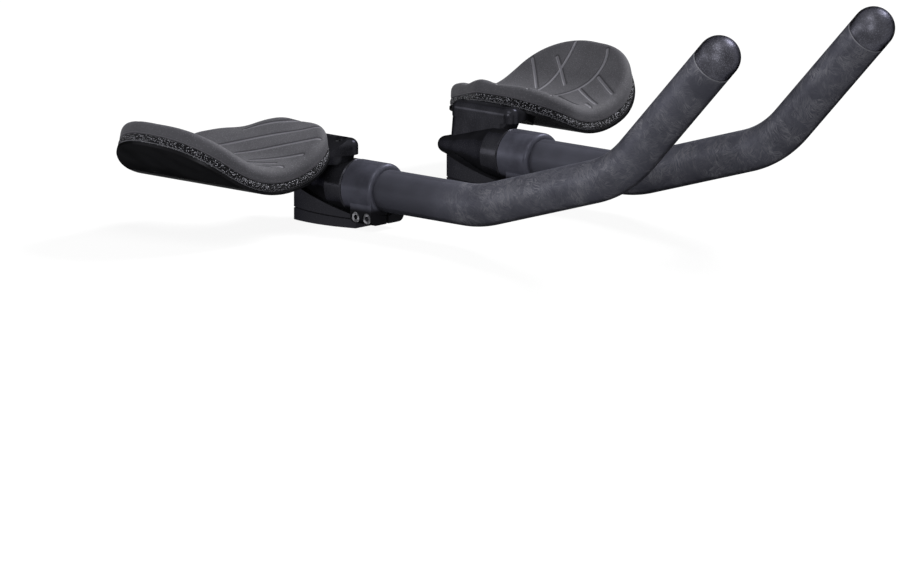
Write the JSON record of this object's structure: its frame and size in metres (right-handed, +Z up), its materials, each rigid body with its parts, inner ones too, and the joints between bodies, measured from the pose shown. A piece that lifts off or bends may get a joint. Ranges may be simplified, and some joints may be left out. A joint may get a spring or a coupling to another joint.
{
  "type": "aero handlebar extension",
  "caption": "Clip-on aero handlebar extensions: bent tubes held in pinch clamps on riser bases, with padded forearm cups bracketed above the clamps.",
  "frame": {"origin": "on the handlebar seat plane, midway between the four mounting holes", "axes": "+X to the rider's right, +Y forward along the level run of the tubes, +Z up"},
  "size_m": [0.3514, 0.3447, 0.1288],
  "materials": {
    "black_alloy": "black anodised, satin",
    "grey_alloy": "dark grey anodised, fine satin",
    "bolt_steel": "black oxide, bright where the tool has rubbed",
    "bar_composite": "carbon-fibre composite, satin, plain at the clamp and marbled from the first bend",
    "plug_rubber": "satin moulded rubber with a fine speckle",
    "cup_shell": "satin moulded composite shell",
    "hook_strip": "woven hook tape",
    "pad_mesh": "black spacer mesh",
    "pad_foam": "dark grey moulded foam, matte with a fine grain"
  },
  "bodies": {
    "mounts": {"right_base_plate": "black_alloy", "right_riser_wedge": "black_alloy", "right_clamp_body": "black_alloy", "right_clamp_collar": "grey_alloy", "right_pinch_bolts": "bolt_steel", "right_armrest_bracket": "black_alloy", "right_bracket_bolts": "bolt_steel", "right_armrest_cup": "cup_shell", "right_cup_screws": "bolt_steel", "right_hook_strips": "hook_strip", "right_pad_backing": "pad_mesh", "right_pad_top": "pad_foam", "left_base_plate": "black_alloy", "left_riser_wedge": "black_alloy", "left_clamp_body": "black_alloy", "left_clamp_collar": "grey_alloy", "left_pinch_bolts": "bolt_steel", "left_armrest_bracket": "black_alloy", "left_bracket_bolts": "bolt_steel", "left_armrest_cup": "cup_shell", "left_cup_screws": "bolt_steel", "left_hook_strips": "hook_strip", "left_pad_backing": "pad_mesh", "left_pad_top": "pad_foam"},
    "right_extension": {"right_extension_bar": "bar_composite", "right_end_plug": "plug_rubber"},
    "left_extension": {"left_extension_bar": "bar_composite", "left_end_plug": "plug_rubber"}
  },
  "joints": [
    {"name": "right_reach", "type": "slide", "parent": "mounts", "child": "right_extension", "axis": [0, 1, 0], "range_m": [0, 0.012]},
    {"name": "left_reach", "type": "slide", "parent": "mounts", "child": "left_extension", "axis": [0, 1, 0], "range_m": [0, 0.012]}
  ]
}
